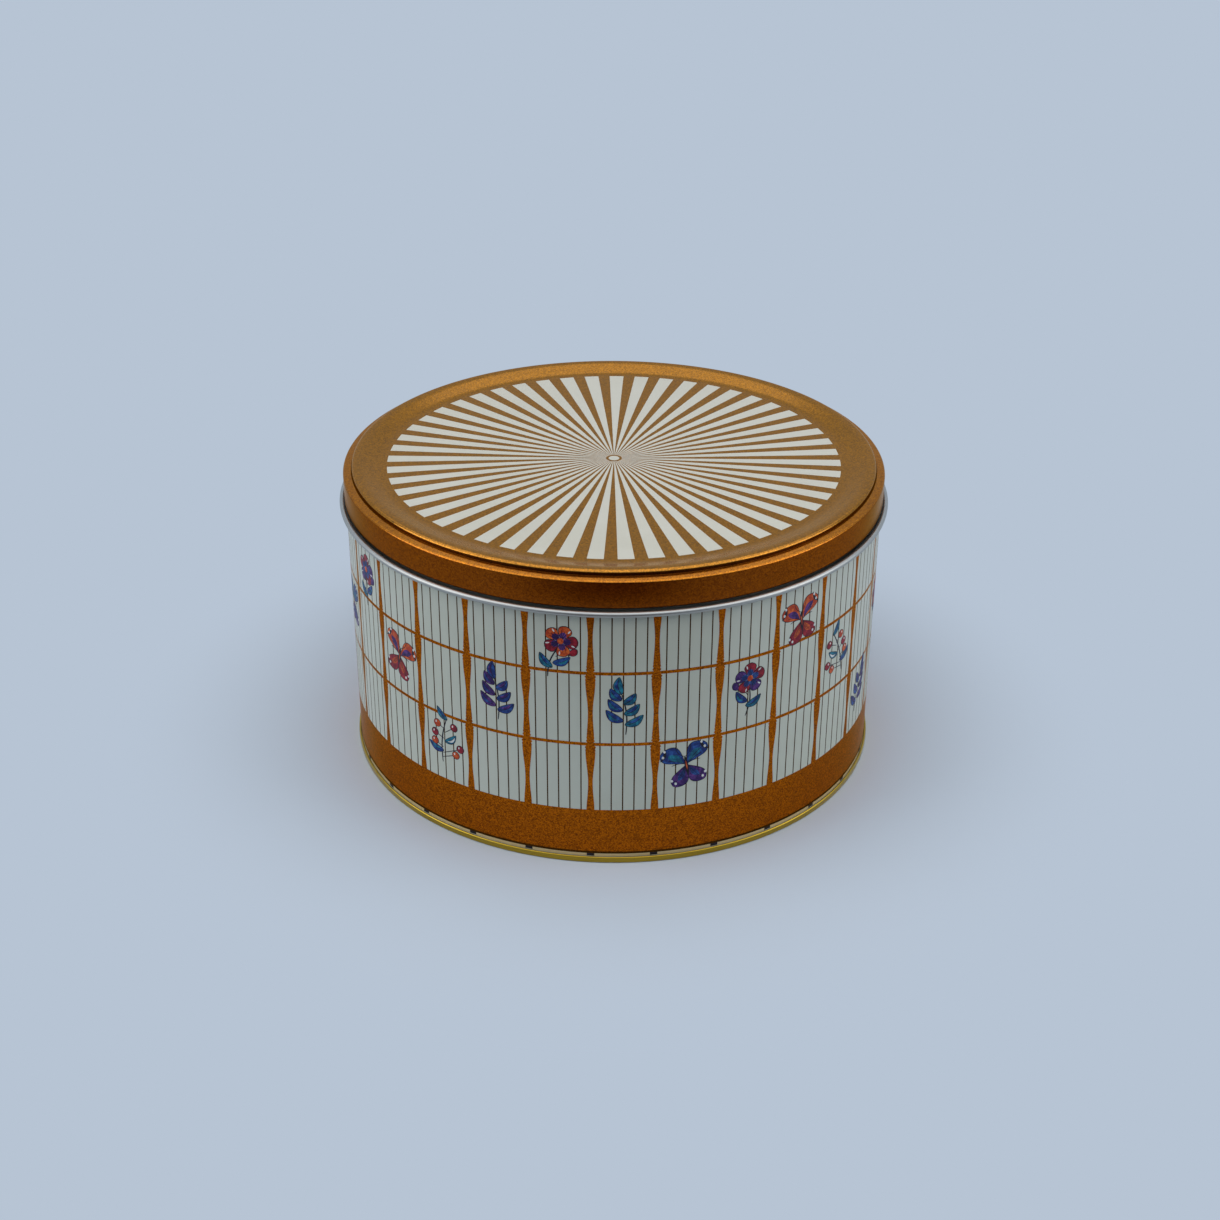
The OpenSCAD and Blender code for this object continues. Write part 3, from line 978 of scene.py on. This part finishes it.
# %% Coloured inks of the motifs
INK_COLOURS = {
    "dark": ((12, 10, 22), (30, 24, 46)),
    "teal": ((4, 74, 104), (26, 132, 158)),
    "blue": ((14, 38, 104), (40, 88, 162)),
    "violet": ((44, 16, 84), (98, 54, 132)),
    "crimson": ((108, 6, 30), (168, 30, 48)),
    "orange": ((168, 52, 14), (216, 104, 36)),
    "pale": ((206, 210, 210), (232, 232, 226)),
}


def wash_ink(name, deep, light):
    """A transparent printing ink: deeper where more of it lies."""
    made, tree, place = finish(name + "_ink", Roughness=0.45, Specular_IOR_Level=0.3)
    pools = noise(tree, place, 420.0, 4.0, 0.7)
    steep = ramp(tree, pools, 0.42, 0.66)
    blend_colours(tree, steep, deep, light)
    bumps(tree, pools, 0.01 * MM, 0.3)
    return made


ink_finish = {name: wash_ink(name, *pair) for name, pair in INK_COLOURS.items()}

# %% Each piece gets its finishes
worn = {
    base_shell: [gold],
    compound_ring: [compound],
    wall_shell: [tinplate, wall_cream],
    neck_shell: [tinplate],
    # The lid's skirt, shoulder and step finishes are copies of its copper that carry painted shade and a
    # painted highlight.
    lid_shell: [tinplate, lid_copper, skirt_copper_painted_shade, shoulder_copper_painted_highlight, step_copper_painted_shade],
    rays: [lid_cream],
    spot: [lid_cream],
    posts: [wall_copper],
    rails: [wall_copper],
    band: [wall_copper],
    foot_strip: [foot_tan],
    foot_line: [line_brown],
    stripes: [line_brown],
    marks: [ink_finish["dark"]],
    seam_fold: [tinplate],
}
worn.update({film: [ink_finish[ink]] for film, ink in motif_films})
for piece, finishes in worn.items():
    for made in finishes:
        piece.data.materials.append(made)
print("dressed", len(worn), "pieces")

# %% [markdown]
# # Floor, light and camera
# The tin stands on a large sheet of pale grey-blue paper under soft boxes: a wide one
# overhead, a dimmer strip behind it for the gleam on the shoulder, and one at each side. A
# lamp's strength is given as the brightness of its face, because that is what a shiny
# surface mirrors; the power that a lamp needs for it is pi times its brightness times its
# area.

# %% What the eye and a shiny surface see of the background


def seen_straight(tree):
    """One for a ray from the camera, off shiny metal or through glass, and zero for a ray
    that only gathers light, so that the background's colour adds no light to the tin."""
    path = add(tree, "LightPath").outputs
    mirrored = math_node(tree, "MAXIMUM", path["Is Camera Ray"], path["Is Glossy Ray"])
    return math_node(tree, "MAXIMUM", mirrored, path["Is Transmission Ray"])


def matt_board(name, scale, detail, deep, light):
    """A board with no gloss: two colours mixed by the clouds that its fibres make."""
    made, tree, place = finish(name, Roughness=0.9, Specular_IOR_Level=0.1)
    mixed = blend_colours(tree, noise(tree, place, scale, detail), deep, light)
    return made, tree, place, mixed.outputs[2]


def mix_shaders(tree, factor, first, second, output):
    """Two shader nodes mixed by a factor, as the surface of an output node."""
    mix = add(tree, "MixShader")
    for source, socket in zip((factor, first.outputs[0], second.outputs[0]), mix.inputs):
        tree.links.new(source, socket)
    tree.links.new(mix.outputs[0], tree.nodes[output].inputs["Surface"])


# %% The paper that the tin stands on
BACKDROP = (183, 196, 212)
PAPER_R = 4.0
RINGS, SPOKES = 24, 96
ring_radius = np.geomspace(0.05, PAPER_R, RINGS)[:, None]
spoke_angle = np.arange(SPOKES)[None, :] * 360 / SPOKES
paper_points = round_axis(ring_radius, spoke_angle, 0.0).reshape(-1, 3)
ring_number = np.arange(RINGS * SPOKES).reshape(RINGS, SPOKES)
inner, outer = ring_number[:-1], ring_number[1:]
paper_quads = np.stack([inner, outer, np.roll(outer, -1, 1), np.roll(inner, -1, 1)], -1).reshape(-1, 4)
hub = np.full(SPOKES, RINGS * SPOKES)
paper_fan = np.stack([hub, ring_number[0], np.roll(ring_number[0], -1)], -1)
paper_points = np.vstack([paper_points, [[0, 0, 0]]])
paper = mesh_object("paper", paper_points, paper_quads, paper_fan)

made, tree, place = matt_board("paper", 9.0, 6.0, (198, 210, 224), (200, 212, 226))[:3]
far = add(tree, "VectorMath", operation="LENGTH")
tree.links.new(place, far.inputs[0])
fade = ramp(tree, far.outputs["Value"], 0.108, 0.2)
even = add(tree, "Emission", socket_Color=colour(*BACKDROP))
faded = math_node(tree, "MULTIPLY", fade, seen_straight(tree))
mix_shaders(tree, faded, tree.nodes["Principled BSDF"], even, "Material Output")
paper.data.materials.append(made)

# %% World
world = bpy.data.worlds.new("room")
bpy.context.scene.world = world
world.use_nodes = True
tree = world.node_tree
room = tree.nodes["Background"]
room.inputs["Color"].default_value = colour(150, 160, 176)
room.inputs["Strength"].default_value = 0.2
backdrop = add(tree, "Background", socket_Color=colour(*BACKDROP))
mix_shaders(tree, seen_straight(tree), room, backdrop, "World Output")

# %% Soft boxes


def soft_box(name, place, width, height, brightness, aim=(0, 0, 0.05)):
    """A square lamp that looks at the tin, and whose face is as bright as given."""
    lamp = bpy.data.lights.new(name, "AREA")
    lamp.shape = "RECTANGLE"
    lamp.size, lamp.size_y = width, height
    lamp.energy = math.pi * brightness * width * height
    holder = bpy.data.objects.new(name, lamp)
    bpy.context.scene.collection.objects.link(holder)
    holder.location = place
    holder.rotation_euler = (Vector(aim) - Vector(place)).to_track_quat("-Z", "Y").to_euler()
    holder.visible_camera = False
    return holder


soft_box("overhead", (0, -0.2, 1.3), 2.4, 2.0, 1.03)
soft_box("rear", (0, 1.1, 1.3), 2.4, 0.6, 0.62, (0, 1.1, 0))
soft_box("left", (-1.15, -0.25, 0.62), 1.0, 0.9, 2.0)
soft_box("right", (1.15, -0.25, 0.62), 1.0, 0.9, 1.8)

# %% [markdown]
# Shiny sheet needs something dark to mirror as well, or its edges melt into the paper. In
# a studio that is a dark card in front of the table, and here it is a brown one. It is a
# sweep round the front: along the paper, then upright. It pales to the backdrop's colour
# towards its ends. The camera looks past it and it casts no shadow.

# %% The dark card
CARD_R = (0.26, 0.85, 0.85)
CARD_Z = (0.004, 0.02, 0.4)
CARD_SIDE = 64
CARD_COLUMNS = 33
CARD_THICK = 0.002
card_r, card_z = np.array(CARD_R), np.array(CARD_Z)
card_angle = np.linspace(-CARD_SIDE, CARD_SIDE, CARD_COLUMNS)[None, :, None]
card_front = round_axis(card_r, card_angle, card_z)
card_back = round_axis(card_r + CARD_THICK, card_angle, card_z - CARD_THICK)
card = slabs("card", card_front, card_back)
made, tree, place, middle = matt_board("card", 12.0, 4.0, (96, 72, 54), (84, 62, 46))
outwards = add(tree, "VectorMath", operation="NORMALIZE")
tree.links.new(place, outwards.inputs[0])
sideways = add(tree, "SeparateXYZ")
tree.links.new(outwards.outputs[0], sideways.inputs[0])
paling = ramp(tree, math_node(tree, "ABSOLUTE", sideways.outputs["X"]), 0.1, 0.75)
ends = blend_colours(tree, paling, BACKDROP, BACKDROP)
tree.links.new(middle, ends.inputs[6])
card.data.materials.append(made)
card.visible_camera = False
card.visible_shadow = False
card.visible_transmission = False

# %% [markdown]
# The lens and the place of the camera make an ellipse of the rim, of the curl and of the
# foot as wide and as high as they are seen; a roll of a quarter of a degree levels them.

# %% Camera
FRAME_PIXELS = 1220
FOCAL_PIXELS = 1890
EYE = Vector((0, -0.6498, 0.3957))
LOOK_AT = Vector((-0.00124, 0, 0.04788))
ROLL = math.radians(0.2455)
eye_data = bpy.data.cameras.new("camera")
eye_data.sensor_width = 36.0
eye_data.lens = FOCAL_PIXELS / FRAME_PIXELS * eye_data.sensor_width
eye_data.clip_start = 0.01
ahead = (LOOK_AT - EYE).normalized()
level = ahead.cross(Vector((0, 0, 1))).normalized()
upward = level.cross(ahead)
right = level * math.cos(ROLL) + upward * math.sin(ROLL)
above = upward * math.cos(ROLL) - level * math.sin(ROLL)
camera = bpy.data.objects.new("camera", eye_data)
bpy.context.scene.collection.objects.link(camera)
camera.matrix_world = Matrix.Translation(EYE) @ Matrix((right, above, -ahead)).transposed().to_4x4()
bpy.context.scene.camera = camera
bpy.context.scene.view_settings.view_transform = "Standard"
